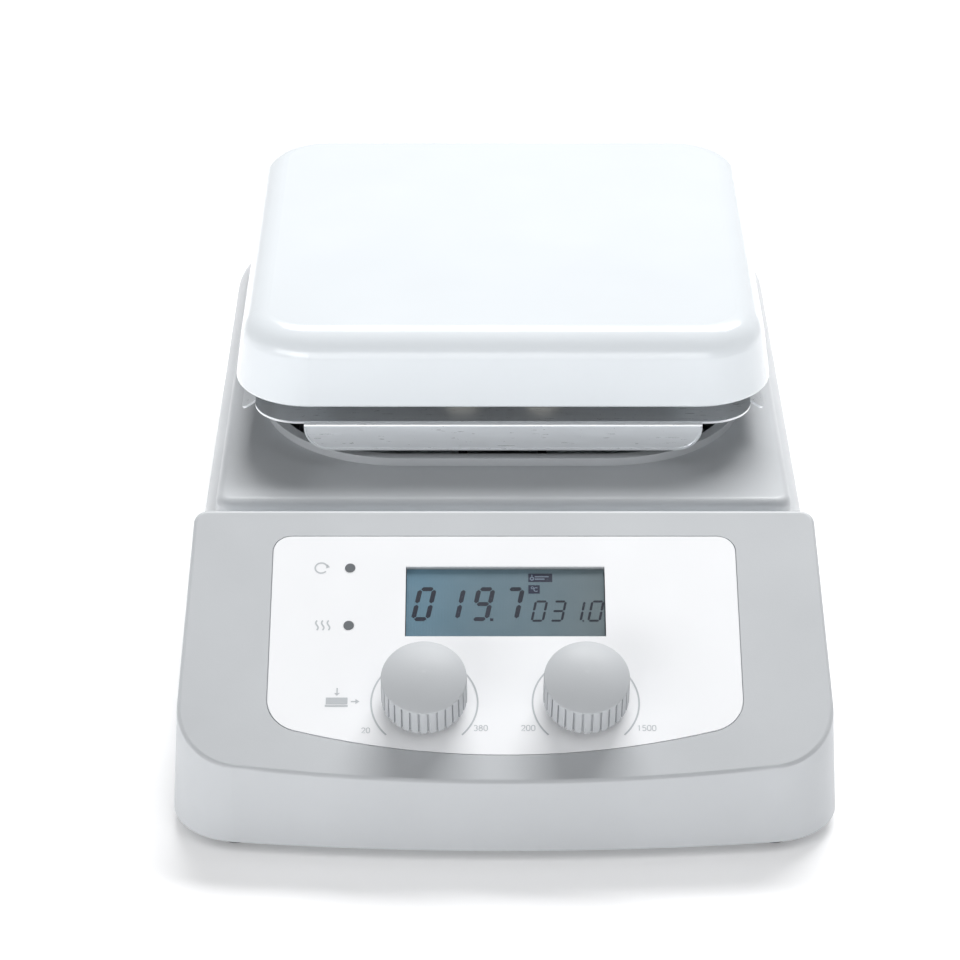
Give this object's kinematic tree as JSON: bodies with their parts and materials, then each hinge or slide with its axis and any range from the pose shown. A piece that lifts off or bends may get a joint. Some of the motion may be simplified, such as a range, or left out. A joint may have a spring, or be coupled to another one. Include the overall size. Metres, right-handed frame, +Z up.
{
  "type": "magnetic stirrer",
  "caption": "Low desktop magnetic stirrer with a heated square white plate, sloping front console with display and two domed push knobs, and a rear support rod socket.",
  "frame": {"origin": "centre of the footprint on the surface the feet stand on", "axes": "+X to the user's right, +Y from the console to the back, +Z up"},
  "size_m": [0.1606, 0.28, 0.086],
  "materials": {
    "housing_grey": "fine satin, light grey",
    "panel_white": "smooth white panel with pale grey markings",
    "clear_window": "clear",
    "lcd": "grey-green display",
    "dark_plastic": "black",
    "lens_grey": "dark grey lens",
    "knob_grey": "satin grey",
    "board_green": "circuit board",
    "steel": "plain steel",
    "polished_steel": "polished sheet",
    "zinc_steel": "zinc plated sheet",
    "enamel_white": "white glazed coat on cast aluminium",
    "element": "heater element in a steel skin",
    "fibre_pad": "mineral fibre pad",
    "rubber_black": "matt",
    "nickel": "nickel plated",
    "brass_part": "brass",
    "copper": "enamelled copper wire",
    "core_steel": "laminated steel",
    "magnet": "sintered magnet",
    "motor_alloy": "machined",
    "ceramic_white": "ceramic",
    "glass_fuse": "glass fuse",
    "lead_insulation": "silicone insulation",
    "can_black": "sleeved can",
    "transformer_yellow": "ferrite core and taped winding"
  },
  "bodies": {
    "housing": {"top_housing": "housing_grey", "base_plate": "zinc_steel", "rubber_feet": "rubber_black", "underside_screws": "zinc_steel", "panel_overlay": "panel_white", "display_window": "clear_window", "lcd_glass": "lcd", "lcd_frame": "dark_plastic", "indicator_lights": "lens_grey", "display_board": "board_green", "board_pillars": "zinc_steel", "inner_screws": "zinc_steel", "encoders": "nickel", "encoder_nuts": "nickel", "hotplate": "enamel_white", "heating_element": "element", "insulation_pad": "fibre_pad", "element_cover": "polished_steel", "heat_tray": "polished_steel", "motor_bridge": "zinc_steel", "plate_spacers": "zinc_steel", "plate_studs": "steel", "stud_nuts": "zinc_steel", "heater_terminals": "steel", "terminal_bushes": "ceramic_white", "plate_probe": "steel", "thermal_cutout": "ceramic_white", "motor_base": "motor_alloy", "motor_bearings": "steel", "stator_core": "core_steel", "stator_coils": "copper", "mains_module": "dark_plastic", "mains_pins": "brass_part", "switch_frame": "dark_plastic", "serial_port": "nickel", "sensor_socket": "nickel", "rod_socket": "nickel", "power_board": "board_green", "transformer": "transformer_yellow", "capacitors": "can_black", "heat_sink": "motor_alloy", "triac": "dark_plastic", "terminal_block": "dark_plastic", "heater_leads": "lead_insulation", "mains_lead": "lead_insulation"},
    "rotor": {"spindle": "steel", "rotor_cup": "zinc_steel", "rotor_magnet": "magnet", "magnet_holder": "motor_alloy", "stirring_magnets": "nickel", "holder_nut": "zinc_steel"},
    "temperature_sleeve": {"temperature_encoder_sleeve": "dark_plastic"},
    "temperature_knob": {"temperature_shaft": "nickel", "temperature_knob": "knob_grey"},
    "speed_sleeve": {"speed_encoder_sleeve": "dark_plastic"},
    "speed_knob": {"speed_shaft": "nickel", "speed_knob": "knob_grey"},
    "switch_rocker": {"switch_rocker": "dark_plastic"},
    "fuse_drawer": {"fuse_drawer": "dark_plastic", "fuse": "glass_fuse"}
  },
  "joints": [
    {"name": "rotor_spin", "type": "hinge", "parent": "housing", "child": "rotor", "pos_m": [0, 0.0393, 0.04], "axis": [0, 0, 1], "continuous": true},
    {"name": "temperature_turn", "type": "hinge", "parent": "housing", "child": "temperature_sleeve", "pos_m": [-0.0193, -0.1192, 0.03247], "axis": [0, -0.4462, 0.8949], "continuous": true},
    {"name": "temperature_press", "type": "slide", "parent": "temperature_sleeve", "child": "temperature_knob", "axis": [0, 0.4462, -0.8949], "range_m": [0, 0.0012], "stiffness_N_per_m": 1200, "springref_m": -0.002},
    {"name": "speed_turn", "type": "hinge", "parent": "housing", "child": "speed_sleeve", "pos_m": [0.0193, -0.1192, 0.03247], "axis": [0, -0.4462, 0.8949], "continuous": true},
    {"name": "speed_press", "type": "slide", "parent": "speed_sleeve", "child": "speed_knob", "axis": [0, 0.4462, -0.8949], "range_m": [0, 0.0012], "stiffness_N_per_m": 1200, "springref_m": -0.002},
    {"name": "switch_rock", "type": "hinge", "parent": "housing", "child": "switch_rocker", "pos_m": [-0.004, 0.135, 0.023], "axis": [1, 0, 0], "range_deg": [0, 18]},
    {"name": "fuse_drawer_slide", "type": "slide", "parent": "housing", "child": "fuse_drawer", "axis": [0, 1, 0], "range_m": [0, 0.016]}
  ]
}
